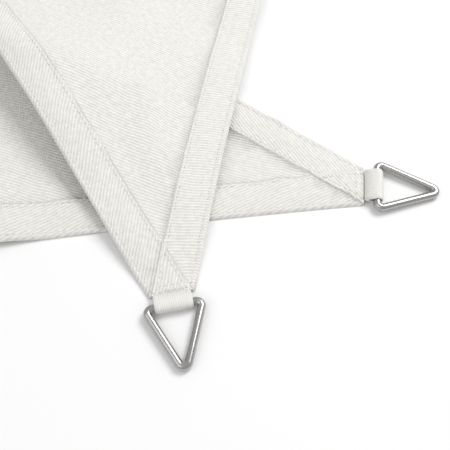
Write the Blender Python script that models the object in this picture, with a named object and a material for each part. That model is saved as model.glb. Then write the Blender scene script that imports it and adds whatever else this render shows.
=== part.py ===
"""A triangular shade sail with hollow sides, lying loosely folded with its three corners free.

The sail is one knitted cloth, hemmed to its underside all round. It is first laid out flat, with the side
between the front corner and the side corner along X. Then the back corner is folded under, the side corner is
folded over the middle, and the front corner is folded over both. Each corner ends in a webbing loop that
holds a triangular ring of round steel wire. Metres, +Z up, origin under the middle of the folded sail.
"""

import math
from collections import namedtuple

import bmesh
import bpy
from mathutils import Matrix, Vector
from mathutils.geometry import delaunay_2d_cdt

# Cloth, flat
SIDE = 2.0  # straight distance between neighbouring corners
HOLLOW = math.radians(10.0)  # how far each side turns in from its chord at a corner
CORNER_CUT = 0.046  # the cloth stops this far short of the point where two sides meet
HEM_WIDTH = 0.030
HEM_STEP = 0.0004  # the foot of the hem's inner edge
PANEL_THICK = 0.0012
HEM_THICK = 0.0013  # what each folded hem adds

# Cloth, folded
Fold = namedtuple("Fold", "foot angle wing radius")
SIDE_FOLD = Fold(foot=-0.095, angle=math.radians(46.2), wing=1, radius=0.004)
FRONT_FOLD = Fold(foot=0.062, angle=math.radians(134.1), wing=-1, radius=0.004)
BACK_FOLD = 0.80  # the back corner turns under along this line
BACK_RADIUS = 0.005
GAP = 0.002  # air between two layers
EDGE_MARGIN = 0.005  # a layer keeps its height this far past an edge below it
SETTLE = 0.09  # and then sinks over this length
FOLD_RELAX = 0.07  # a fold's open loop closes over this length
BILLOW_HEIGHT = 0.026  # of the soft wave along the front wing's free edge
BILLOW_HALF_WIDTH = 0.085
CROSSING_SETTLE = 0.05  # how fast the front wing sinks past the side wing's edge
TURN = math.radians(-137.0)  # from the flat layout's X to the finished part's X

# Mesh
STATION = 0.036  # spacing of the points along the sides
CELL = 0.038  # spacing of the points inside
BEND_STEPS = 4

# Fittings
WEBBING_WIDTH = 0.0275
WEBBING_THICK = 0.0014
WIRE = 0.0060
RING_BASE = 0.042  # centre-line length of the ring's straight base, corner to corner
RING_HEIGHT = 0.051  # centre-line height of the ring over its base
RING_CORNER = 0.0036
BAR_OUT = 0.0100  # from the end of the cloth to the middle of the ring's base
CLEAR = 0.0003
WIRE_SIDES = 12
CORNER_STEPS = 6
LOOP_STEPS = 14

FLOOR_LIFT = PANEL_THICK + HEM_THICK
OVER_FLAP = 2 * (PANEL_THICK + HEM_THICK) + GAP

Corner = namedtuple("Corner", "name place axis skew")
SIDE_RADIUS = SIDE / 2 / math.sin(HOLLOW)
TOP = SIDE * math.sqrt(3) / 2
CORNERS = (
    Corner("front", Vector((-SIDE / 2, 0)), math.radians(30), math.radians(0)),
    Corner("side", Vector((SIDE / 2, 0)), math.radians(150), math.radians(-9)),
    Corner("back", Vector((0, TOP)), math.radians(270), math.radians(0)),
)
SIDES = ((0, 1), (1, 2), (2, 0))


def side_centre(start, end):
    """Centre of the arc that a side lies on, outside the cloth."""
    outward = Vector((end.y - start.y, start.x - end.x)).normalized()
    return (start + end) / 2 + outward * SIDE_RADIUS * math.cos(HOLLOW)


SIDE_CENTRES = [side_centre(CORNERS[a].place, CORNERS[b].place) for a, b in SIDES]


def inset(side, point):
    """Distance of a flat point from one side, positive in the cloth."""
    return (point - SIDE_CENTRES[side]).length - SIDE_RADIUS


def cut_inset(corner, point):
    """Distance of a flat point from a corner's cut end, positive in the cloth."""
    axis = corner.axis + corner.skew
    middle = corner.place + CORNER_CUT * Vector((math.cos(corner.axis), math.sin(corner.axis)))
    return (point - middle).dot(Vector((math.cos(axis), math.sin(axis))))


def in_cloth(point):
    """Whether a flat point is in the cloth."""
    tiny = 1e-6
    in_sides = all(inset(i, point) > -tiny for i in range(3))
    return in_sides and all(cut_inset(c, point) > -tiny for c in CORNERS)


def ease(value):
    """Smooth step from 0 to 1."""
    value = min(max(value, 0.0), 1.0)
    return value * value * (3 - 2 * value)


def near(distance, margin, width):
    """1 up to a margin, and then smoothly down to 0 over a width."""
    return 1 - ease((distance - margin) / width)


def fold_axes(fold):
    """A point on a fold line, the way along it, and the way to its wing."""
    along = Vector((math.cos(fold.angle), math.sin(fold.angle)))
    return Vector((fold.foot, 0)), along, fold.wing * Vector((along.y, -along.x))


def unfolded(fold, spot):
    """The flat point of a wing that lies at a folded spot."""
    start, along, out = fold_axes(fold)
    from_line = (spot - start).dot(out)
    return start + along * (spot - start).dot(along) + out * (math.pi * fold.radius - from_line)


def middle_height(spot):
    """Height of the middle layer's upper face."""
    under = Vector((spot.x, 2 * BACK_FOLD + math.pi * BACK_RADIUS - spot.y))
    past_flap = -min(inset(1, under), inset(2, under))
    raised = (OVER_FLAP - FLOOR_LIFT) * near(past_flap, EDGE_MARGIN, SETTLE)
    loop = (2 * BACK_RADIUS - OVER_FLAP) * near(BACK_FOLD - spot.y, 0, FOLD_RELAX)
    return FLOOR_LIFT + raised + loop


def over_middle(spot):
    """Height of a wing that lies on the middle layer, and on the floor past its back fold."""
    below = middle_height(Vector((spot.x, min(spot.y, BACK_FOLD)))) + GAP
    return below * near(spot.y - BACK_FOLD - BACK_RADIUS, EDGE_MARGIN, 1.3 * SETTLE)


def opening(fold, spot):
    """How much a fold's round loop holds its wing up near the fold line."""
    start, along, out = fold_axes(fold)
    return (2 * fold.radius - GAP) * near(-(spot - start).dot(out), 0, FOLD_RELAX)


def side_wing_height(spot):
    """Height of the lower face of the side corner's wing."""
    return over_middle(spot) + opening(SIDE_FOLD, spot)


def billow(spot):
    """The soft wave that lifts the free edge of the front corner's wing."""
    rise = near(spot.y, 0.80, 0.20) * ease((spot.y - 0.32) / 0.24)
    across = math.exp(-(((spot.x - 0.02) / BILLOW_HALF_WIDTH) ** 2))
    return BILLOW_HEIGHT * rise * across


def front_wing_height(spot):
    """Height of the lower face of the front corner's wing, which crosses over the side corner's."""
    base = over_middle(spot)
    flat = unfolded(SIDE_FOLD, spot)
    past_side = -min(inset(0, flat), inset(1, flat))
    over_side = side_wing_height(spot) + PANEL_THICK + HEM_THICK + GAP - base
    crossing = over_side * near(past_side, EDGE_MARGIN, CROSSING_SETTLE)
    return base + crossing + opening(FRONT_FOLD, spot) + billow(spot)


def folded(point):
    """Place of a flat point's first face in the folded sail, and the way that face looks there."""
    for fold, height in ((SIDE_FOLD, side_wing_height), (FRONT_FOLD, front_wing_height)):
        start, along, out = fold_axes(fold)
        across = (point - start).dot(out)
        if across > 0:
            foot = start + along * (point - start).dot(along)
            bend = min(across / fold.radius, math.pi)
            past = max(across - math.pi * fold.radius, 0)
            spot = foot + out * (fold.radius * math.sin(bend) - past)
            rise = middle_height(foot) + fold.radius * (1 - math.cos(bend))
            level = height(spot) if past > 0 else rise
            looks = Vector((-out.x * math.sin(bend), -out.y * math.sin(bend), math.cos(bend)))
            return Vector((spot.x, spot.y, level)), looks
    across = point.y - BACK_FOLD
    if across > 0:
        bend = min(across / BACK_RADIUS, math.pi)
        past = max(across - math.pi * BACK_RADIUS, 0)
        spot = Vector((point.x, BACK_FOLD + BACK_RADIUS * math.sin(bend) - past))
        level = BACK_RADIUS * (1 + math.cos(bend))
        return Vector((spot.x, spot.y, level)), Vector((0, math.sin(bend), math.cos(bend)))
    return Vector((point.x, point.y, middle_height(point))), Vector((0, 0, 1))


def hem_thickness(point):
    """Thickness of the cloth at a flat point: the panel and each hem that covers it."""
    return PANEL_THICK + HEM_THICK * sum(inset(i, point) < HEM_WIDTH + HEM_STEP / 2 for i in range(3))


def arc_points(side, distance):
    """Flat points along a line at one distance inside a side, from end to end."""
    a, b = (CORNERS[i].place for i in SIDES[side])
    centre = SIDE_CENTRES[side]
    first = (a - centre).normalized()
    count = round(SIDE / STATION)
    turn = 2 * HOLLOW / count
    reach = SIDE_RADIUS + distance
    return [centre + Matrix.Rotation(-turn * i, 2) @ first * reach for i in range(count + 1)]


def bend_lines():
    """The straight lines across the flat cloth where its three folds bend, each as two end points."""
    lines = []
    for fold in (SIDE_FOLD, FRONT_FOLD):
        start, along, out = fold_axes(fold)
        for step in range(BEND_STEPS + 1):
            foot = start + out * (math.pi * fold.radius * step / BEND_STEPS)
            lines.append((foot, foot + along * SIDE))
    for step in range(BEND_STEPS + 1):
        level = BACK_FOLD + math.pi * BACK_RADIUS * step / BEND_STEPS
        lines.append((Vector((-SIDE / 2, level)), Vector((SIDE / 2, level))))
    return lines


def flat_mesh():
    """Triangles that fill the flat cloth, with edges on its sides, hem lines, cut ends and bends."""
    points, edges = [], []

    def add_line(line):
        first = len(points)
        points.extend(line)
        edges.extend((first + i, first + i + 1) for i in range(len(line) - 1))

    for side in range(3):
        for distance in (0.0, HEM_WIDTH, HEM_WIDTH + HEM_STEP):
            add_line(arc_points(side, distance))
    for corner in CORNERS:
        axis = corner.axis + corner.skew
        middle = corner.place + CORNER_CUT * Vector((math.cos(corner.axis), math.sin(corner.axis)))
        across = Vector((-math.sin(axis), math.cos(axis))) * 2 * CORNER_CUT
        add_line([middle - across, middle + across])
    for start, end in bend_lines():
        count = round((end - start).length / STATION)
        add_line([start.lerp(end, i / count) for i in range(count + 1)])
    row_height = CELL * math.sqrt(3) / 2
    for row in range(round(TOP / row_height)):
        for column in range(-round(SIDE / 2 / CELL), round(SIDE / 2 / CELL) + 1):
            spot = Vector(((column + row % 2 / 2) * CELL, row * row_height))
            clear = min(inset(i, spot) for i in range(3)) > HEM_WIDTH + CELL / 2
            if clear and all(distance_to(line, spot) > CELL / 2.5 for line in bend_lines()):
                points.append(spot)
    found, _, triangles, _, _, _ = delaunay_2d_cdt(points, edges, [], 0, 1e-6)
    kept = [t for t in triangles if in_cloth(sum((found[i] for i in t), Vector((0, 0))) / 3)]
    return found, kept


def distance_to(line, spot):
    """Distance of a flat point from an endless line."""
    along = (line[1] - line[0]).normalized()
    return abs((spot - line[0]).cross(along))


def make_object(name, mesh_data, material):
    """Link a new object whose mesh is a finished bmesh."""
    bmesh.ops.recalc_face_normals(mesh_data, faces=mesh_data.faces)
    mesh = bpy.data.meshes.new(name)
    mesh_data.to_mesh(mesh)
    mesh_data.free()
    mesh.materials.append(material)
    mesh.shade_smooth()
    mesh.set_sharp_from_angle(angle=math.radians(35))
    made = bpy.data.objects.new(name, mesh)
    bpy.context.scene.collection.objects.link(made)
    return made


def make_sail(material):
    """The hemmed cloth as one closed sheet in its folded form."""
    flat, triangles = flat_mesh()
    sheet = bmesh.new()
    first_face, second_face = {}, {}
    for index in sorted({i for t in triangles for i in t}):
        place, looks = folded(flat[index])
        first_face[index] = sheet.verts.new(place)
        second_face[index] = sheet.verts.new(place - looks * hem_thickness(flat[index]))
    rim = {}
    for a, b, c in triangles:
        sheet.faces.new([first_face[i] for i in (a, b, c)])
        sheet.faces.new([second_face[i] for i in (c, b, a)])
        for edge in ((a, b), (b, c), (c, a)):
            rim[edge] = (edge[1], edge[0]) not in rim
            if not rim[edge]:
                rim[(edge[1], edge[0])] = False
    for (a, b), is_rim in rim.items():
        if is_rim:
            sheet.faces.new((first_face[b], first_face[a], second_face[a], second_face[b]))
    bmesh.ops.triangulate(sheet, faces=[f for f in sheet.faces if len(f.verts) > 3])
    return make_object("sail", sheet, material)


def loop_outline(radius, tail, tail_half, middle):
    """Outline of a strap round the ring's base: a round end, drawn in to a flat tail."""
    points = []
    for step in range(LOOP_STEPS + 1):
        angle = math.radians(100) - math.radians(200) * step / LOOP_STEPS
        points.append(Vector((BAR_OUT + radius * math.cos(angle), middle + radius * math.sin(angle))))
    return points + [Vector((tail, middle - tail_half)), Vector((tail, middle + tail_half))]


def make_loop(name, material):
    """Webbing folded round the ring's base, lying along +X from the end of the cloth."""
    inner = WIRE / 2 + CLEAR
    outer = inner + WEBBING_THICK
    rims = (
        loop_outline(outer, CLEAR, WEBBING_THICK, outer),
        loop_outline(inner, CLEAR + 0.0030, CLEAR, outer),
    )
    strap = bmesh.new()
    ends = []
    for across in (-WEBBING_WIDTH / 2, WEBBING_WIDTH / 2):
        ends.append([[strap.verts.new((p.x, across, p.y)) for p in rim] for rim in rims])
    count = len(rims[0])
    for i in range(count):
        j = (i + 1) % count
        for end in ends:
            strap.faces.new((end[0][i], end[0][j], end[1][j], end[1][i]))
        for rim in (0, 1):
            strap.faces.new((ends[0][rim][i], ends[0][rim][j], ends[1][rim][j], ends[1][rim][i]))
    return make_object(name, strap, material)


def ring_path():
    """Centre line of the triangular ring, its base across X and its tip towards +X, as flat points."""
    corners = [Vector((0, -RING_BASE / 2)), Vector((RING_HEIGHT, 0)), Vector((0, RING_BASE / 2))]
    path = []
    for i, corner in enumerate(corners):
        before = (corners[i - 1] - corner).normalized()
        after = (corners[(i + 1) % 3] - corner).normalized()
        half = before.angle(after) / 2
        centre = corner + (before + after).normalized() * RING_CORNER / math.sin(half)
        start = corner + before * RING_CORNER / math.tan(half) - centre
        sweep = math.pi - 2 * half
        for step in range(CORNER_STEPS + 1):
            path.append(centre + Matrix.Rotation(sweep * step / CORNER_STEPS, 2) @ start)
    return path


def make_ring(name, material):
    """Round wire bent to a triangle and welded, tilted so that its tip rests on the floor."""
    path = ring_path()
    bar_height = WIRE / 2 + CLEAR + WEBBING_THICK
    drop = (bar_height - WIRE / 2) / RING_HEIGHT
    wire = bmesh.new()
    rings = []
    for i, spot in enumerate(path):
        along = (path[(i + 1) % len(path)] - path[i - 1]).normalized()
        out = Vector((along.y, -along.x, 0))
        middle = Vector((BAR_OUT + spot.x, spot.y, bar_height - drop * spot.x))
        turns = [2 * math.pi * step / WIRE_SIDES for step in range(WIRE_SIDES)]
        up = Vector((0, 0, 1))
        rings.append(
            [wire.verts.new(middle + (out * math.cos(t) + up * math.sin(t)) * WIRE / 2) for t in turns]
        )
    for i, ring in enumerate(rings):
        following = rings[(i + 1) % len(rings)]
        for j in range(WIRE_SIDES):
            k = (j + 1) % WIRE_SIDES
            wire.faces.new((ring[j], ring[k], following[k], following[j]))
    return make_object(name, wire, material)


def corner_matrix(corner):
    """Where a corner's fittings go: from the middle of its cut end, out along its skewed axis."""
    toward = Vector((math.cos(corner.axis), math.sin(corner.axis)))
    axis = corner.axis + corner.skew
    end = corner.place + CORNER_CUT * toward
    further_in = end + Vector((math.cos(axis), math.sin(axis))) * 0.010
    place, _ = folded(end)
    behind, _ = folded(further_in)
    out = Vector((place.x - behind.x, place.y - behind.y, 0)).normalized()
    angle = math.atan2(out.y, out.x)
    return Matrix.Translation((place.x, place.y, 0)) @ Matrix.Rotation(angle, 4, "Z")


def make_material(name, colour, roughness, metallic):
    """A plain Principled finish."""
    material = bpy.data.materials.new(name)
    material.use_nodes = True
    shader = material.node_tree.nodes["Principled BSDF"]
    shader.inputs["Base Color"].default_value = (*colour, 1)
    shader.inputs["Roughness"].default_value = roughness
    shader.inputs["Metallic"].default_value = metallic
    return material


def centre_on_origin(objects):
    """Turn the whole part to its final heading and put the middle of its base at the origin."""
    turn = Matrix.Rotation(TURN, 4, "Z")
    for made in objects:
        made.data.transform(turn @ made.matrix_world)
        made.matrix_world = Matrix.Identity(4)
    places = [v.co for made in objects for v in made.data.vertices]
    middle = [(min(p[i] for p in places) + max(p[i] for p in places)) / 2 for i in (0, 1)]
    lowest = min(p.z for p in places)
    for made in objects:
        made.data.transform(Matrix.Translation((-middle[0], -middle[1], -lowest)))


def main():
    """Build the sail, its loops and its rings."""
    for old in list(bpy.data.objects):
        bpy.data.objects.remove(old, do_unlink=True)
    cloth = make_material("knitted cloth", (0.80, 0.79, 0.76), 0.85, 0.0)
    webbing = make_material("webbing", (0.84, 0.83, 0.80), 0.75, 0.0)
    steel = make_material("stainless steel", (0.72, 0.72, 0.73), 0.22, 1.0)
    made = [make_sail(cloth)]
    for corner in CORNERS:
        place = corner_matrix(corner)
        loop = make_loop(f"loop_{corner.name}", webbing)
        ring = make_ring(f"ring_{corner.name}", steel)
        loop.matrix_world = place
        ring.matrix_world = place
        made += [loop, ring]
    centre_on_origin(made)


main()
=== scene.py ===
"""Looks of a folded triangular shade sail: knitted cloth, stitched hems, webbing loops and wire rings.

The cloth is one sheet, mapped from its flat cut to its folds by the same formulas as the construction, with
finer spacing, rounded and sewn hems, listed creases and a knit that follows the flat cloth.
"""

import logging
import math
from collections import namedtuple
from dataclasses import dataclass
from enum import Enum

import bmesh
import bpy
from mathutils import Matrix, Vector
from mathutils.geometry import delaunay_2d_cdt

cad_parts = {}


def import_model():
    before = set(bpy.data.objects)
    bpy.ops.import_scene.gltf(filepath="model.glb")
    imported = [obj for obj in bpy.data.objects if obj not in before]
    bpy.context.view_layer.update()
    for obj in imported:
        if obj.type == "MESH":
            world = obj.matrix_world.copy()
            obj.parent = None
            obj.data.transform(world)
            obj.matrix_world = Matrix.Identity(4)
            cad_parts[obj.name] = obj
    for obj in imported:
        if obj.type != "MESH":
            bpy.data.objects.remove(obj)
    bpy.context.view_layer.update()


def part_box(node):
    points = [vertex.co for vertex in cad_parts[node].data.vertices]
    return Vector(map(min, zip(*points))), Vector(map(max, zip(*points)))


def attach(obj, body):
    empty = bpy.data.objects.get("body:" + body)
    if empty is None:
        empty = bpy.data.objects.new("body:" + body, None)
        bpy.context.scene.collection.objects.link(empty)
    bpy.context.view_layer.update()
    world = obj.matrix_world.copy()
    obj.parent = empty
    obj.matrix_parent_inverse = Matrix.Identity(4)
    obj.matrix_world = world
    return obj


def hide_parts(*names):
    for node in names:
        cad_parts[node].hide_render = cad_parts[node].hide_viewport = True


# Cloth, flat
SIDE = 2.0  # straight distance between neighbouring corners
HOLLOW = math.radians(10.0)  # how far each side turns in from its chord at a corner
CORNER_CUT = 0.046  # the cloth stops this far short of the point where two sides meet
HEM_WIDTH = 0.030
HEM_STEP = 0.0004  # the foot of the hem's inner edge
PANEL_THICK = 0.0012
HEM_THICK = 0.0013  # what each folded hem adds

# Cloth, folded
Fold = namedtuple("Fold", "foot angle wing radius")
SIDE_FOLD = Fold(foot=-0.095, angle=math.radians(46.2), wing=1, radius=0.004)
FRONT_FOLD = Fold(foot=0.062, angle=math.radians(134.1), wing=-1, radius=0.004)
BACK_FOLD = 0.80  # the back corner turns under along this line
BACK_RADIUS = 0.005
GAP = 0.002  # air between two layers
EDGE_MARGIN = 0.005  # a layer keeps its height this far past an edge below it
SETTLE = 0.09  # and then sinks over this length
FOLD_RELAX = 0.07  # a fold's open loop closes over this length
BILLOW_HEIGHT = 0.026  # of the soft wave along the front wing's free edge
BILLOW_HALF_WIDTH = 0.085
CROSSING_SETTLE = 0.05  # how fast the front wing sinks past the side wing's edge
TURN = math.radians(-137.0)  # from the flat layout's X to the finished part's X

# Mesh
STATION = 0.012  # spacing of the points along the sides
CELL = 0.013  # spacing of the points inside
BEND_STEPS = 8

# Fittings
WEBBING_WIDTH = 0.0275
WEBBING_THICK = 0.0014
WIRE = 0.0060
RING_BASE = 0.042  # centre-line length of the ring's straight base, corner to corner
RING_HEIGHT = 0.051  # centre-line height of the ring over its base
RING_CORNER = 0.0036
BAR_OUT = 0.0100  # from the end of the cloth to the middle of the ring's base
CLEAR = 0.0003
WIRE_SIDES = 28
CORNER_STEPS = 14
LOOP_STEPS = 28

FLOOR_LIFT = PANEL_THICK + HEM_THICK
OVER_FLAP = 2 * (PANEL_THICK + HEM_THICK) + GAP

Corner = namedtuple("Corner", "name place axis skew")
SIDE_RADIUS = SIDE / 2 / math.sin(HOLLOW)
TOP = SIDE * math.sqrt(3) / 2
CORNERS = (
    Corner("front", Vector((-SIDE / 2, 0)), math.radians(30), math.radians(0)),
    Corner("side", Vector((SIDE / 2, 0)), math.radians(150), math.radians(-9)),
    Corner("back", Vector((0, TOP)), math.radians(270), math.radians(0)),
)
SIDES = ((0, 1), (1, 2), (2, 0))


def side_centre(start: Vector, end: Vector) -> Vector:
    """Centre of the arc that a side lies on, outside the cloth."""
    outward = Vector((end.y - start.y, start.x - end.x)).normalized()
    return (start + end) / 2 + outward * SIDE_RADIUS * math.cos(HOLLOW)


SIDE_CENTRES = [side_centre(CORNERS[a].place, CORNERS[b].place) for a, b in SIDES]


def inset(side: int, point: Vector) -> float:
    """Distance of a flat point from one side, positive in the cloth."""
    return (point - SIDE_CENTRES[side]).length - SIDE_RADIUS


def cut_inset(corner: Corner, point: Vector) -> float:
    """Distance of a flat point from a corner's cut end, positive in the cloth.

    Args:
        corner: The corner.
        point: Place on the flat cloth.
    Returns:
        The distance in metres.
    """
    axis = corner.axis + corner.skew
    middle = corner.place + CORNER_CUT * Vector((math.cos(corner.axis), math.sin(corner.axis)))
    return (point - middle).dot(Vector((math.cos(axis), math.sin(axis))))


def in_cloth(point: Vector) -> bool:
    """Whether a flat point is in the cloth.

    Args:
        point: Place on the flat cloth.
    Returns:
        True inside all sides and cut ends.
    """
    tiny = 1e-6
    in_sides = all(inset(i, point) > -tiny for i in range(3))
    return in_sides and all(cut_inset(c, point) > -tiny for c in CORNERS)


def ease(value: float) -> float:
    """Smooth step from 0 to 1."""
    value = min(max(value, 0.0), 1.0)
    return value * value * (3 - 2 * value)


def near(distance: float, margin: float, width: float) -> float:
    """1 up to a margin, and then smoothly down to 0 over a width."""
    return 1 - ease((distance - margin) / width)


def fold_axes(fold: Fold) -> tuple[Vector, Vector, Vector]:
    """A point on a fold line, the way along it, and the way to its wing."""
    along = Vector((math.cos(fold.angle), math.sin(fold.angle)))
    return Vector((fold.foot, 0)), along, fold.wing * Vector((along.y, -along.x))


def unfolded(fold: Fold, spot: Vector) -> Vector:
    """The flat point of a wing that lies at a folded spot.

    Args:
        fold: The wing's fold.
        spot: Place in the folded layout.
    Returns:
        The flat point.
    """
    start, along, out = fold_axes(fold)
    from_line = (spot - start).dot(out)
    return start + along * (spot - start).dot(along) + out * (math.pi * fold.radius - from_line)


def middle_height(spot: Vector) -> float:
    """Height of the middle layer's upper face.

    Args:
        spot: Place in the folded layout.
    Returns:
        The height in metres.
    """
    under = Vector((spot.x, 2 * BACK_FOLD + math.pi * BACK_RADIUS - spot.y))
    past_flap = -min(inset(1, under), inset(2, under))
    raised = (OVER_FLAP - FLOOR_LIFT) * near(past_flap, EDGE_MARGIN, SETTLE)
    loop = (2 * BACK_RADIUS - OVER_FLAP) * near(BACK_FOLD - spot.y, 0, FOLD_RELAX)
    return FLOOR_LIFT + raised + loop


def over_middle(spot: Vector) -> float:
    """Height of a wing that lies on the middle layer, and on the floor past its back fold."""
    below = middle_height(Vector((spot.x, min(spot.y, BACK_FOLD)))) + GAP
    return below * near(spot.y - BACK_FOLD - BACK_RADIUS, EDGE_MARGIN, 1.3 * SETTLE)


def opening(fold: Fold, spot: Vector) -> float:
    """How much a fold's round loop holds its wing up near the fold line."""
    start, along, out = fold_axes(fold)
    return (2 * fold.radius - GAP) * near(-(spot - start).dot(out), 0, FOLD_RELAX)


Crease = namedtuple("Crease", "x y heading length width height")
SIDE_CREASES = (  # soft ridges across the side corner's wing, in the folded layout before its last turn
    Crease(-0.100, 0.962, 45, 0.040, 0.0045, 0.0026),
    Crease(-0.106, 1.002, 43, 0.038, 0.0045, 0.0026),
    Crease(-0.104, 1.034, 53, 0.034, 0.0040, 0.0018),
    Crease(-0.063, 0.997, 22, 0.045, 0.0050, 0.0026),
    Crease(-0.078, 1.014, 34, 0.036, 0.0045, 0.0020),
    Crease(-0.030, 0.971, 47, 0.036, 0.0050, 0.0022),
    Crease(0.000, 0.940, 62, 0.050, 0.0070, 0.0024),
    Crease(0.070, 0.905, 96, 0.060, 0.0100, 0.0030),
    Crease(0.110, 0.840, 75, 0.140, 0.020, 0.0050),
    Crease(0.200, 0.700, 40, 0.260, 0.030, 0.0080),
    Crease(0.160, 0.500, 70, 0.300, 0.034, 0.0070),
)
FRONT_CREASES = (  # and on the front corner's wing
    Crease(-0.020, 0.893, 50, 0.085, 0.0090, 0.0050),
    Crease(-0.022, 0.857, 137, 0.050, 0.0120, 0.0030),
    Crease(-0.053, 0.932, 137, 0.016, 0.0030, 0.0012),
    Crease(-0.045, 0.965, 70, 0.040, 0.0070, 0.0014),
    Crease(0.010, 0.790, 120, 0.120, 0.018, 0.0050),
    Crease(-0.130, 0.760, 30, 0.180, 0.022, 0.0060),
    Crease(-0.240, 0.640, 150, 0.300, 0.034, 0.0080),
    Crease(-0.120, 0.480, 110, 0.300, 0.036, 0.0080),
)


def creasing(spot: Vector, creases: tuple[Crease, ...]) -> float:
    """Height that the listed creases add at a folded spot.

    Args:
        spot: Place in the folded layout.
        creases: The wing's table of creases.
    Returns:
        The added height in metres, never negative.
    """
    total = 0.0
    for row in creases:
        along = Vector((math.cos(math.radians(row.heading)), math.sin(math.radians(row.heading))))
        away = spot - Vector((row.x, row.y))
        lengthwise, sideways = away.dot(along) / (row.length / 2), away.cross(along) / row.width
        total += row.height * math.exp(-(sideways**2) - lengthwise**4)
    return total


def side_wing_height(spot: Vector) -> float:
    """Height of the lower face of the side corner's wing."""
    return over_middle(spot) + opening(SIDE_FOLD, spot) + creasing(spot, SIDE_CREASES)


def billow(spot: Vector) -> float:
    """The soft wave that lifts the free edge of the front corner's wing.

    Args:
        spot: Place in the folded layout.
    Returns:
        The added height in metres.
    """
    rise = near(spot.y, 0.80, 0.20) * ease((spot.y - 0.32) / 0.24)
    across = math.exp(-(((spot.x - 0.02) / BILLOW_HALF_WIDTH) ** 2))
    return BILLOW_HEIGHT * rise * across


def front_wing_height(spot: Vector) -> float:
    """Height of the lower face of the front corner's wing, which crosses over the side corner's.

    Args:
        spot: Place in the folded layout.
    Returns:
        The height in metres.
    """
    base = over_middle(spot)
    flat = unfolded(SIDE_FOLD, spot)
    past_side = -min(inset(0, flat), inset(1, flat))
    over_side = side_wing_height(spot) + PANEL_THICK + HEM_THICK + GAP - base
    crossing = over_side * near(past_side, EDGE_MARGIN, CROSSING_SETTLE)
    return base + crossing + opening(FRONT_FOLD, spot) + billow(spot) + creasing(spot, FRONT_CREASES)


def folded(point: Vector) -> tuple[Vector, Vector]:
    """Place of a flat point's first face in the folded sail, and the way that face looks there.

    Args:
        point: Place on the flat cloth.
    Returns:
        The place, and the unit direction that the face looks in.
    """
    for fold, height in ((SIDE_FOLD, side_wing_height), (FRONT_FOLD, front_wing_height)):
        start, along, out = fold_axes(fold)
        across = (point - start).dot(out)
        if across > 0:
            foot = start + along * (point - start).dot(along)
            bend = min(across / fold.radius, math.pi)
            past = max(across - math.pi * fold.radius, 0)
            spot = foot + out * (fold.radius * math.sin(bend) - past)
            rise = middle_height(foot) + fold.radius * (1 - math.cos(bend))
            level = height(spot) if past > 0 else rise
            looks = Vector((-out.x * math.sin(bend), -out.y * math.sin(bend), math.cos(bend)))
            return Vector((spot.x, spot.y, level)), looks
    across = point.y - BACK_FOLD
    if across > 0:
        bend = min(across / BACK_RADIUS, math.pi)
        past = max(across - math.pi * BACK_RADIUS, 0)
        spot = Vector((point.x, BACK_FOLD + BACK_RADIUS * math.sin(bend) - past))
        level = BACK_RADIUS * (1 + math.cos(bend))
        return Vector((spot.x, spot.y, level)), Vector((0, math.sin(bend), math.cos(bend)))
    return Vector((point.x, point.y, middle_height(point))), Vector((0, 0, 1))


HemRow = namedtuple("HemRow", "inset full")
HEM_SECTION = (  # the folded hem from its outer edge to its sewn inner edge, as shares of its thickness
    HemRow(0.0, -0.30),
    HemRow(0.0010, 0.95),
    HemRow(0.0024, 1.35),
    HemRow(0.0042, 0.75),
    HemRow(0.0062, 1.20),
    HemRow(0.0150, 1.25),
    HemRow(0.0240, 1.15),
    HemRow(0.0268, 0.72),
    HemRow(0.0288, 1.05),
    HemRow(HEM_WIDTH, 0.85),
    HemRow(HEM_WIDTH + HEM_STEP, 0.0),
)


def hem_share(distance: float) -> float:
    """Thickness of one hem at a distance inside its side, as a share of its plain thickness.

    Args:
        distance: Distance inside the side, in metres.
    Returns:
        The share, 0 past the hem's inner edge.
    """
    for low, high in zip(HEM_SECTION, HEM_SECTION[1:]):
        if distance < high.inset:
            part = (max(distance, 0.0) - low.inset) / (high.inset - low.inset)
            return low.full + (high.full - low.full) * part
    return 0.0


def hem_thickness(point: Vector) -> float:
    """Thickness of the cloth at a flat point: the panel and each hem that covers it."""
    return PANEL_THICK + HEM_THICK * sum(hem_share(inset(i, point)) for i in range(3))


def arc_points(side: int, distance: float) -> list[Vector]:
    """Flat points along a line at one distance inside a side, from end to end.

    Args:
        side: Index of the side.
        distance: Distance inside it.
    Returns:
        The points.
    """
    a, b = (CORNERS[i].place for i in SIDES[side])
    centre = SIDE_CENTRES[side]
    first = (a - centre).normalized()
    count = round(SIDE / STATION)
    turn = 2 * HOLLOW / count
    reach = SIDE_RADIUS + distance
    return [centre + Matrix.Rotation(-turn * i, 2) @ first * reach for i in range(count + 1)]


def bend_lines() -> list[tuple[Vector, Vector]]:
    """The straight lines across the flat cloth where its three folds bend, each as two end points.

    Returns:
        The lines.
    """
    lines = []
    for fold in (SIDE_FOLD, FRONT_FOLD):
        start, along, out = fold_axes(fold)
        for step in range(BEND_STEPS + 1):
            foot = start + out * (math.pi * fold.radius * step / BEND_STEPS)
            lines.append((foot, foot + along * SIDE))
    for step in range(BEND_STEPS + 1):
        level = BACK_FOLD + math.pi * BACK_RADIUS * step / BEND_STEPS
        lines.append((Vector((-SIDE / 2, level)), Vector((SIDE / 2, level))))
    return lines


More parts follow.
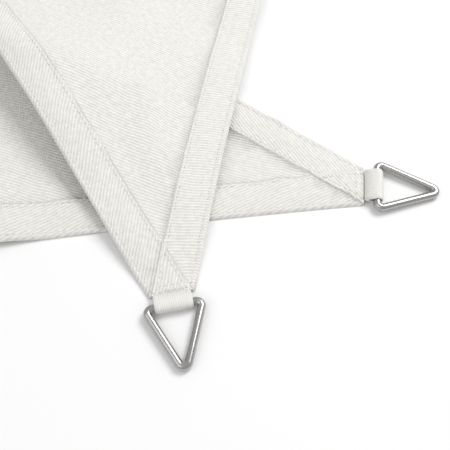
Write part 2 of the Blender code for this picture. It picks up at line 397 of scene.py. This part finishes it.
def flat_mesh() -> tuple[list[Vector], list[tuple[int, ...]]]:
    """Triangles that fill the flat cloth, with edges on its sides, hem lines, cut ends and bends.

    Returns:
        The flat points, and the triangles as their indices.
    """
    points, edges = [], []

    def add_line(line: list[Vector]) -> None:
        """Add one line of points and its edges."""
        first = len(points)
        points.extend(line)
        edges.extend((first + i, first + i + 1) for i in range(len(line) - 1))

    for side in range(3):
        for distance in (row.inset for row in HEM_SECTION):
            add_line(arc_points(side, distance))
    for corner in CORNERS:
        axis = corner.axis + corner.skew
        middle = corner.place + CORNER_CUT * Vector((math.cos(corner.axis), math.sin(corner.axis)))
        across = Vector((-math.sin(axis), math.cos(axis))) * 2 * CORNER_CUT
        add_line([middle - across, middle + across])
    for start, end in bend_lines():
        count = round((end - start).length / STATION)
        add_line([start.lerp(end, i / count) for i in range(count + 1)])
    row_height = CELL * math.sqrt(3) / 2
    for row in range(round(TOP / row_height)):
        for column in range(-round(SIDE / 2 / CELL), round(SIDE / 2 / CELL) + 1):
            spot = Vector(((column + row % 2 / 2) * CELL, row * row_height))
            clear = min(inset(i, spot) for i in range(3)) > HEM_WIDTH + CELL / 3
            if clear and all(distance_to(line, spot) > CELL / 2.5 for line in bend_lines()):
                points.append(spot)
    found, _, triangles, _, _, _ = delaunay_2d_cdt(points, edges, [], 0, 1e-6)
    kept = [t for t in triangles if in_cloth(sum((found[i] for i in t), Vector((0, 0))) / 3)]
    return found, kept


def distance_to(line: tuple[Vector, Vector], spot: Vector) -> float:
    """Distance of a flat point from an endless line."""
    along = (line[1] - line[0]).normalized()
    return abs((spot - line[0]).cross(along))


def loop_outline(radius: float, tail: float, tail_half: float, middle: float) -> list[Vector]:
    """Outline of a strap round the ring's base: a round end, drawn in to a flat tail.

    Args:
        radius: Radius round the base.
        tail: Where the tail ends.
        tail_half: Half the tail's thickness.
        middle: Height of the base's middle.
    Returns:
        The outline's points.
    """
    points = []
    for step in range(LOOP_STEPS + 1):
        angle = math.radians(100) - math.radians(200) * step / LOOP_STEPS
        points.append(Vector((BAR_OUT + radius * math.cos(angle), middle + radius * math.sin(angle))))
    return points + [Vector((tail, middle - tail_half)), Vector((tail, middle + tail_half))]


def ring_path() -> list[Vector]:
    """Centre line of the triangular ring, its base across X and its tip towards +X, as flat points.

    Returns:
        The points, all the way round.
    """
    corners = [Vector((0, -RING_BASE / 2)), Vector((RING_HEIGHT, 0)), Vector((0, RING_BASE / 2))]
    path = []
    for i, corner in enumerate(corners):
        before = (corners[i - 1] - corner).normalized()
        after = (corners[(i + 1) % 3] - corner).normalized()
        half = before.angle(after) / 2
        centre = corner + (before + after).normalized() * RING_CORNER / math.sin(half)
        start = corner + before * RING_CORNER / math.tan(half) - centre
        sweep = math.pi - 2 * half
        for step in range(CORNER_STEPS + 1):
            path.append(centre + Matrix.Rotation(sweep * step / CORNER_STEPS, 2) @ start)
    return path


def corner_matrix(corner: Corner) -> Matrix:
    """Where a corner's fittings go: from the middle of its cut end, out along its skewed axis.

    Args:
        corner: The corner.
    Returns:
        The matrix from the fitting's own frame to the folded layout.
    """
    toward = Vector((math.cos(corner.axis), math.sin(corner.axis)))
    axis = corner.axis + corner.skew
    end = corner.place + CORNER_CUT * toward
    further_in = end + Vector((math.cos(axis), math.sin(axis))) * 0.010
    place, _ = folded(end)
    behind, _ = folded(further_in)
    out = Vector((place.x - behind.x, place.y - behind.y, 0)).normalized()
    angle = math.atan2(out.y, out.x)
    return Matrix.Translation((place.x, place.y, 0)) @ Matrix.Rotation(angle, 4, "Z")


KNIT_HEADING = math.radians(-150)  # the knit runs square to the side between the back and front corners


class Slot(Enum):
    """Names of material slots for cloth, webbing and steel."""

    CLOTH = "cloth"
    WEBBING = "webbing"
    STEEL = "steel"


Socket = bpy.types.NodeSocket


def rib_group() -> bpy.types.NodeTree:
    """Fine knitted or woven ribs: a height, and a colour mask that is painted shade in the rib valleys mixed
    with random mottle, both following the cloth's own coordinates.
    """
    group = bpy.data.node_groups.new("textile ribs", "ShaderNodeTree")
    for name, value in (("Pitch", 0.0026), ("Heading", 0.0), ("Unevenness", 0.9)):
        socket = group.interface.new_socket(name, in_out="INPUT", socket_type="NodeSocketFloat")
        socket.default_value = value
    for name in ("Height", "PaintedShadeAndMottle"):
        group.interface.new_socket(name, in_out="OUTPUT", socket_type="NodeSocketFloat")
    nodes, links = group.nodes, group.links
    given, out = nodes.new("NodeGroupInput"), nodes.new("NodeGroupOutput")
    place, turn = nodes.new("ShaderNodeUVMap"), nodes.new("ShaderNodeVectorRotate")
    place.uv_map = "flat"
    turn.rotation_type = "Z_AXIS"
    links.new(place.outputs[0], turn.inputs["Vector"])
    links.new(given.outputs["Heading"], turn.inputs["Angle"])
    drift = nodes.new("ShaderNodeTexNoise")
    drift.inputs["Scale"].default_value = 60.0
    links.new(place.outputs[0], drift.inputs["Vector"])
    apart = nodes.new("ShaderNodeSeparateXYZ")
    links.new(turn.outputs[0], apart.inputs[0])

    def math_node(kind: str, first: Socket, second: Socket | float) -> Socket:
        """Add one arithmetic node.

        Args:
            kind: Its operation.
            first: Its first input.
            second: Its second input, a socket or a number.
        Returns:
            Its output.
        """
        node = nodes.new("ShaderNodeMath")
        node.operation = kind
        links.new(first, node.inputs[0])
        if isinstance(second, float):
            node.inputs[1].default_value = second
        else:
            links.new(second, node.inputs[1])
        return node.outputs[0]

    rows = math_node("DIVIDE", apart.outputs["Y"], given.outputs["Pitch"])
    wander = math_node("MULTIPLY", drift.outputs[0], given.outputs["Unevenness"])
    phase = math_node("MULTIPLY", math_node("ADD", rows, wander), 2 * math.pi)
    ribs = math_node("COSINE", phase, 0.0)
    columns = math_node("DIVIDE", apart.outputs["X"], given.outputs["Pitch"])
    loops = math_node("MULTIPLY", columns, 3.6 * math.pi)
    stitches = math_node("MULTIPLY", math_node("SINE", math_node("ADD", loops, phase), 0.0), 0.8)
    height = math_node("ADD", math_node("MULTIPLY", math_node("ADD", ribs, stitches), 0.28), 0.5)
    mottle = nodes.new("ShaderNodeTexNoise")
    mottle.inputs["Scale"].default_value = 240.0
    mottle.inputs["Detail"].default_value = 4.0
    links.new(place.outputs[0], mottle.inputs["Vector"])
    # painted shade: the colour mask is darker where the rib height is low, in the valleys between ribs, and
    # the mottle noise adds random tone
    painted_shade_and_mottle = math_node("MULTIPLY", math_node("ADD", height, mottle.outputs[0]), 0.5)
    links.new(height, out.inputs["Height"])
    links.new(painted_shade_and_mottle, out.inputs["PaintedShadeAndMottle"])
    return group


@dataclass(frozen=True)
class TextileFinish:
    """A ribbed textile: knitted shade cloth, webbing or thread."""

    name: str
    light: tuple[float, float, float]
    dark: tuple[float, float, float]
    pitch: float
    heading: float
    depth: float

    def material(self, ribs: bpy.types.NodeTree) -> bpy.types.Material:
        """Build the material.

        Args:
            ribs: The shared rib effect.
        Returns:
            The new material.
        """
        made = bpy.data.materials.new(self.name)
        made.use_nodes = True
        nodes, links = made.node_tree.nodes, made.node_tree.links
        shader = nodes["Principled BSDF"]
        shader.inputs["Roughness"].default_value = 0.82
        shader.inputs["Sheen Weight"].default_value = 0.15
        effect = nodes.new("ShaderNodeGroup")
        effect.node_tree = ribs
        effect.inputs["Pitch"].default_value = self.pitch
        effect.inputs["Heading"].default_value = self.heading
        # the ramp's dark end is painted shade in the rib valleys, mixed with random mottle tone
        ramp = nodes.new("ShaderNodeValToRGB")
        ramp.color_ramp.elements[0].position, ramp.color_ramp.elements[1].position = 0.25, 0.72
        ramp.color_ramp.elements[0].color = (*self.dark, 1)
        ramp.color_ramp.elements[1].color = (*self.light, 1)
        bump = nodes.new("ShaderNodeBump")
        bump.inputs["Strength"].default_value = 0.55
        bump.inputs["Distance"].default_value = self.depth
        links.new(effect.outputs["PaintedShadeAndMottle"], ramp.inputs[0])
        links.new(ramp.outputs[0], shader.inputs["Base Color"])
        links.new(effect.outputs["Height"], bump.inputs["Height"])
        links.new(bump.outputs[0], shader.inputs["Normal"])
        return made


@dataclass(frozen=True)
class SteelFinish:
    """Polished stainless wire with fine drawing marks and soft handling wear."""

    name: str = "stainless wire"
    colour: tuple[float, float, float] = (0.46, 0.45, 0.44)

    def material(self) -> bpy.types.Material:
        """Build the material."""
        made = bpy.data.materials.new(self.name)
        made.use_nodes = True
        nodes, links = made.node_tree.nodes, made.node_tree.links
        shader = nodes["Principled BSDF"]
        shader.inputs["Metallic"].default_value = 1.0
        shader.inputs["Base Color"].default_value = (*self.colour, 1)
        place, marks = nodes.new("ShaderNodeTexCoord"), nodes.new("ShaderNodeTexNoise")
        marks.inputs["Scale"].default_value = 420.0
        marks.inputs["Detail"].default_value = 5.0
        spread = nodes.new("ShaderNodeMapRange")
        spread.inputs["To Min"].default_value = 0.16
        spread.inputs["To Max"].default_value = 0.34
        bump = nodes.new("ShaderNodeBump")
        bump.inputs["Strength"].default_value = 0.12
        bump.inputs["Distance"].default_value = 0.0002
        links.new(place.outputs["Object"], marks.inputs["Vector"])
        links.new(marks.outputs[0], spread.inputs["Value"])
        links.new(spread.outputs[0], shader.inputs["Roughness"])
        links.new(marks.outputs[0], bump.inputs["Height"])
        links.new(bump.outputs[0], shader.inputs["Normal"])
        return made


@dataclass
class Folds:
    """Where the folded layout lies in the frame."""

    shift: Vector

    @classmethod
    def from_frame(cls) -> "Folds":
        """Find the shift that puts the front loop's middle where its node is."""
        low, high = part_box("loop_front")
        turned = cls.turned(corner_matrix(CORNERS[0]))
        reach = BAR_OUT + WIRE / 2 + CLEAR + WEBBING_THICK
        corners = [(x, y) for x in (CLEAR, reach) for y in (-WEBBING_WIDTH / 2, WEBBING_WIDTH / 2)]
        places = [turned @ Vector((x, y, 0)) for x, y in corners]
        middle = [(min(p[i] for p in places) + max(p[i] for p in places)) / 2 for i in (0, 1)]
        return cls(Vector(((low[0] + high[0]) / 2 - middle[0], (low[1] + high[1]) / 2 - middle[1], 0)))

    @staticmethod
    def turned(matrix: Matrix) -> Matrix:
        """A matrix in the folded layout, turned to the finished heading."""
        return Matrix.Rotation(TURN, 4, "Z") @ matrix

    def matrix(self, inner: Matrix | None = None) -> Matrix:
        """From the folded layout, or from a corner's own frame, to the finished part."""
        return Matrix.Translation(self.shift) @ self.turned(inner or Matrix.Identity(4))


def finish_piece(name: str, shape: bmesh.types.BMesh, material: bpy.types.Material, place: Matrix,
                 recalculate: bool = True) -> bpy.types.Object:
    """Turn a finished shape into a piece of the part.

    Args:
        name: The piece's name.
        shape: Its mesh, which is used up.
        material: Its finish.
        place: Where it goes.
        recalculate: Whether its faces still have to be turned outwards.
    Returns:
        The new object, riding on the root.
    """
    if recalculate:
        bmesh.ops.recalc_face_normals(shape, faces=shape.faces)
    shape.transform(place)
    mesh = bpy.data.meshes.new(name)
    shape.to_mesh(mesh)
    shape.free()
    mesh.materials.append(material)
    mesh.shade_smooth()
    piece = bpy.data.objects.new(name, mesh)
    bpy.context.scene.collection.objects.link(piece)
    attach(piece, "root")
    return piece


def knit_place(point: Vector, underside: bool) -> Vector:
    """Where the knit of a flat point comes from: in a hem the cloth is turned over, so it is mirrored."""
    if underside:
        for side in range(3):
            distance = inset(side, point)
            if distance < HEM_WIDTH:
                centre = SIDE_CENTRES[side]
                return centre + (point - centre).normalized() * (SIDE_RADIUS - distance)
    return point


@dataclass
class SailCloth:
    """The hemmed cloth and its stitching."""

    folds: Folds
    stitch_length: float = 0.0034
    stitch_pitch: float = 0.0046
    thread: float = 0.00035
    stitch_rows: tuple[float, ...] = (0.0042, 0.0268)
    end_rows: tuple[float, ...] = (0.0022, 0.0062)

    def build(self, knit: bpy.types.Material) -> bpy.types.Object:
        """Build the cloth as one thin closed sheet.

        Args:
            knit: The cloth's finish.
        Returns:
            The sheet.
        """
        flat, triangles = flat_mesh()
        sheet = bmesh.new()
        layer = sheet.loops.layers.uv.new("flat")
        first_face, second_face, knit_of = {}, {}, {}
        for index in sorted({i for t in triangles for i in t}):
            place, looks = folded(flat[index])
            upper = sheet.verts.new(place)
            lower = sheet.verts.new(place - looks * hem_thickness(flat[index]))
            first_face[index], second_face[index] = upper, lower
            knit_of[upper], knit_of[lower] = knit_place(flat[index], False), knit_place(flat[index], True)
        rim = {}
        for a, b, c in triangles:
            sheet.faces.new([first_face[i] for i in (a, b, c)])
            sheet.faces.new([second_face[i] for i in (c, b, a)])
            for edge in ((a, b), (b, c), (c, a)):
                rim[edge] = (edge[1], edge[0]) not in rim
                if not rim[edge]:
                    rim[(edge[1], edge[0])] = False
        for (a, b), is_rim in rim.items():
            if is_rim:
                sheet.faces.new((first_face[b], first_face[a], second_face[a], second_face[b]))
        for face in sheet.faces:
            for corner in face.loops:
                corner[layer].uv = knit_of[corner.vert]
        piece = finish_piece("sail_cloth", sheet, knit, self.folds.matrix())
        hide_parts("sail")
        return piece

    def sew(self, thread: bpy.types.Material) -> bpy.types.Object:
        """Sew both rows of every hem with short raised stitches on its folded side.

        Args:
            thread: The thread's finish.
        Returns:
            All the stitches as one piece.
        """
        sewn = bmesh.new()
        layer = sewn.loops.layers.uv.new("flat")
        count = round(SIDE / self.stitch_pitch)
        for side, (a, _) in enumerate(SIDES):
            centre = SIDE_CENTRES[side]
            first = (CORNERS[a].place - centre).normalized()
            for row in self.stitch_rows:
                for step in range(count):
                    ends = []
                    for part in (0.0, self.stitch_length / self.stitch_pitch):
                        turn = Matrix.Rotation(-2 * HOLLOW * (step + part) / count, 2)
                        ends.append(centre + turn @ first * (SIDE_RADIUS + row))
                    if all(in_cloth(end) for end in ends):
                        self.stitch(sewn, ends)
        for corner in CORNERS:
            for row in self.end_rows:
                self.sew_end(sewn, corner, row)
        for face in sewn.faces:
            for corner in face.loops:
                corner[layer].uv = corner.vert.co.xy
        return finish_piece("hem_stitching", sewn, thread, self.folds.matrix())

    def sew_end(self, sewn: bmesh.types.BMesh, corner: Corner, row: float) -> None:
        """Sew straight across a corner where its webbing goes in.

        Args:
            sewn: The mesh to add to.
            corner: The corner.
            row: Distance of the row from the cloth's cut end.
        """
        heading = corner.axis + corner.skew
        toward = Vector((math.cos(corner.axis), math.sin(corner.axis)))
        middle = corner.place + CORNER_CUT * toward + row * Vector((math.cos(heading), math.sin(heading)))
        across = Vector((-math.sin(heading), math.cos(heading)))
        count = round(HEM_WIDTH / self.stitch_pitch)
        for step in range(-count, count):
            ends = [middle + across * (self.stitch_pitch * step + part) for part in (0.0, self.stitch_length)]
            if all(in_cloth(end) for end in ends):
                self.stitch(sewn, ends)

    def stitch(self, sewn: bmesh.types.BMesh, ends: list[Vector]) -> None:
        """Add one stitch, a small spindle lying on the hem.

        Args:
            sewn: The mesh to add to.
            ends: The flat points where the thread goes in.
        """
        tips = []
        for end in ends:
            place, looks = folded(end)
            tips.append(place - looks * hem_thickness(end))
        middle = (tips[0] + tips[1]) / 2 - looks * self.thread
        along = (tips[1] - tips[0]).normalized()
        across = along.cross(looks).normalized() * self.thread
        out = looks * self.thread
        waist = [sewn.verts.new(middle + side) for side in (across, -out, -across, out)]
        start, finish = sewn.verts.new(tips[0]), sewn.verts.new(tips[1])
        for i in range(4):
            sewn.faces.new((start, waist[i], waist[(i + 1) % 4]))
            sewn.faces.new((finish, waist[(i + 1) % 4], waist[i]))


@dataclass
class CornerFitting:
    """A corner's webbing loop and the wire ring that it holds."""

    corner: Corner
    folds: Folds
    strap_steps: int = 24

    def build(self, webbing: bpy.types.Material, steel: bpy.types.Material) -> None:
        """Build both pieces.

        Args:
            webbing: The loop's finish.
            steel: The ring's finish.
        """
        place = self.folds.matrix(corner_matrix(self.corner))
        loop = finish_piece(f"webbing_{self.corner.name}", self.loop(), webbing, place)
        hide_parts(f"loop_{self.corner.name}")
        ring = finish_piece(f"wire_ring_{self.corner.name}", self.ring(), steel, place)
        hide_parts(f"ring_{self.corner.name}")

    def loop(self) -> bmesh.types.BMesh:
        """The strap round the ring's base, with slightly thinner selvedges."""
        inner = WIRE / 2 + CLEAR
        strap = bmesh.new()
        layer = strap.loops.layers.uv.new("flat")
        rows = []
        for step in range(self.strap_steps + 1):
            share = 2 * step / self.strap_steps - 1
            thick = WEBBING_THICK * (1 - 0.45 * abs(share) ** 12)
            middle = inner + WEBBING_THICK
            outside = loop_outline(inner + thick, CLEAR, thick, middle)
            rims = (outside, loop_outline(inner, CLEAR + 0.003, CLEAR, middle))
            across = share * WEBBING_WIDTH / 2
            rows.append([[strap.verts.new((p.x, across, p.y)) for p in rim] for rim in rims])
        count = len(rows[0][0])
        for i in range(count):
            j = (i + 1) % count
            for end in (rows[0], rows[-1]):
                strap.faces.new((end[0][i], end[0][j], end[1][j], end[1][i]))
            for near_row, far_row in zip(rows, rows[1:]):
                for rim in (0, 1):
                    strap.faces.new((near_row[rim][i], near_row[rim][j], far_row[rim][j], far_row[rim][i]))
        for face in strap.faces:
            for edge in face.loops:
                edge[layer].uv = (edge.vert.co.x + edge.vert.co.z, edge.vert.co.y)
        return strap

    def ring(self) -> bmesh.types.BMesh:
        """Round wire bent to a triangle, its ends joined without a step."""
        path = ring_path()
        bar_height = WIRE / 2 + CLEAR + WEBBING_THICK
        drop = (bar_height - WIRE / 2) / RING_HEIGHT
        wire = bmesh.new()
        rings = []
        for i, spot in enumerate(path):
            along = (path[(i + 1) % len(path)] - path[i - 1]).normalized()
            out = Vector((along.y, -along.x, 0))
            middle = Vector((BAR_OUT + spot.x, spot.y, bar_height - drop * spot.x))
            turns = [2 * math.pi * step / WIRE_SIDES for step in range(WIRE_SIDES)]
            sections = [out * math.cos(t) + Vector((0, 0, math.sin(t))) for t in turns]
            rings.append([wire.verts.new(middle + section * WIRE / 2) for section in sections])
        for i, ring in enumerate(rings):
            following = rings[(i + 1) % len(rings)]
            for j in range(WIRE_SIDES):
                k = (j + 1) % WIRE_SIDES
                wire.faces.new((ring[j], ring[k], following[k], following[j]))
        return wire


@dataclass
class Studio:
    """Pale floor, soft light and the camera that looks down at the two crossing corners."""

    height: float = 0.46
    elevation: float = math.radians(60.0)
    lens: float = 56.0
    tip_across: float = -0.038
    tip_ahead: float = -0.058

    def build(self, tip: Vector) -> None:
        """Set the stage.

        Args:
            tip: Where the front corner's cloth ends, on the floor.
        """
        target = Vector((tip.x - self.tip_across, tip.y - self.tip_ahead, 0))
        back = Vector((0, -self.height / math.tan(self.elevation), self.height))
        data = bpy.data.cameras.new("camera")
        data.lens, data.sensor_width, data.clip_start = self.lens, 36.0, 0.01
        camera = bpy.data.objects.new("camera", data)
        camera.location = target + back
        camera.rotation_euler = (math.pi / 2 - self.elevation, 0, 0)
        bpy.context.scene.collection.objects.link(camera)
        bpy.context.scene.camera = camera
        self.floor()
        self.light("key", target + Vector((0.9, 0.8, 1.5)), target, 0.9, 21.0)
        self.light("fill", target + Vector((-1.2, -0.6, 1.6)), target, 1.8, 9.0)
        world = bpy.data.worlds.new("studio")
        world.use_nodes = True
        world.node_tree.nodes["Background"].inputs["Color"].default_value = (1, 1, 1, 1)
        world.node_tree.nodes["Background"].inputs["Strength"].default_value = 0.55
        bpy.context.scene.world = world
        bpy.context.scene.view_settings.view_transform = "Standard"

    def floor(self) -> None:
        """A plain pale floor just under the part."""
        shape = bmesh.new()
        bmesh.ops.create_grid(shape, x_segments=1, y_segments=1, size=4.0)
        mesh = bpy.data.meshes.new("floor")
        shape.to_mesh(mesh)
        shape.free()
        paint = bpy.data.materials.new("pale floor")
        paint.use_nodes = True
        paint.node_tree.nodes["Principled BSDF"].inputs["Base Color"].default_value = (0.93, 0.93, 0.93, 1)
        paint.node_tree.nodes["Principled BSDF"].inputs["Roughness"].default_value = 0.9
        mesh.materials.append(paint)
        floor = bpy.data.objects.new("floor", mesh)
        floor.location.z = -0.0002
        bpy.context.scene.collection.objects.link(floor)

    def light(self, name: str, place: Vector, target: Vector, size: float, power: float) -> None:
        """Add one soft area light.

        Args:
            name: The light's name.
            place: Where it stands.
            target: Where it points.
            size: Its width in metres.
            power: Its power in watts.
        """
        data = bpy.data.lights.new(name, "AREA")
        data.size, data.energy = size, power
        lamp = bpy.data.objects.new(name, data)
        lamp.location = place
        lamp.rotation_euler = (target - place).to_track_quat("-Z", "Y").to_euler()
        bpy.context.scene.collection.objects.link(lamp)


def main() -> None:
    """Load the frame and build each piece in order."""
    logging.basicConfig(level=logging.INFO, format="%(message)s")
    log = logging.getLogger("shade sail")
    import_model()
    folds = Folds.from_frame()
    ribs = rib_group()
    # each dark tone is painted shade in the rib valleys, mixed with random mottle
    light, dark = (0.94, 0.925, 0.89), (0.69, 0.67, 0.63)
    knit = TextileFinish("knitted cloth", light, dark, 0.0024, KNIT_HEADING, 0.0008)
    webbing = TextileFinish("ribbed webbing", (0.90, 0.89, 0.86), (0.76, 0.75, 0.71), 0.0016, 0.0, 0.0005)
    thread = TextileFinish("hem thread", (0.88, 0.87, 0.84), (0.78, 0.77, 0.73), 0.0008, 0.0, 0.0001)
    cloth = SailCloth(folds)
    sail = cloth.build(knit.material(ribs))
    log.info("sail cloth: %d faces", len(sail.data.polygons))
    stitching = cloth.sew(thread.material(ribs))
    log.info("stitching: %d faces", len(stitching.data.polygons))
    webbing_material, steel = webbing.material(ribs), SteelFinish().material()
    for corner in CORNERS:
        CornerFitting(corner, folds).build(webbing_material, steel)
        log.info("corner fitting: %s", corner.name)
    Studio().build(folds.matrix(corner_matrix(CORNERS[0])).translation)


if __name__ == "__main__":
    main()
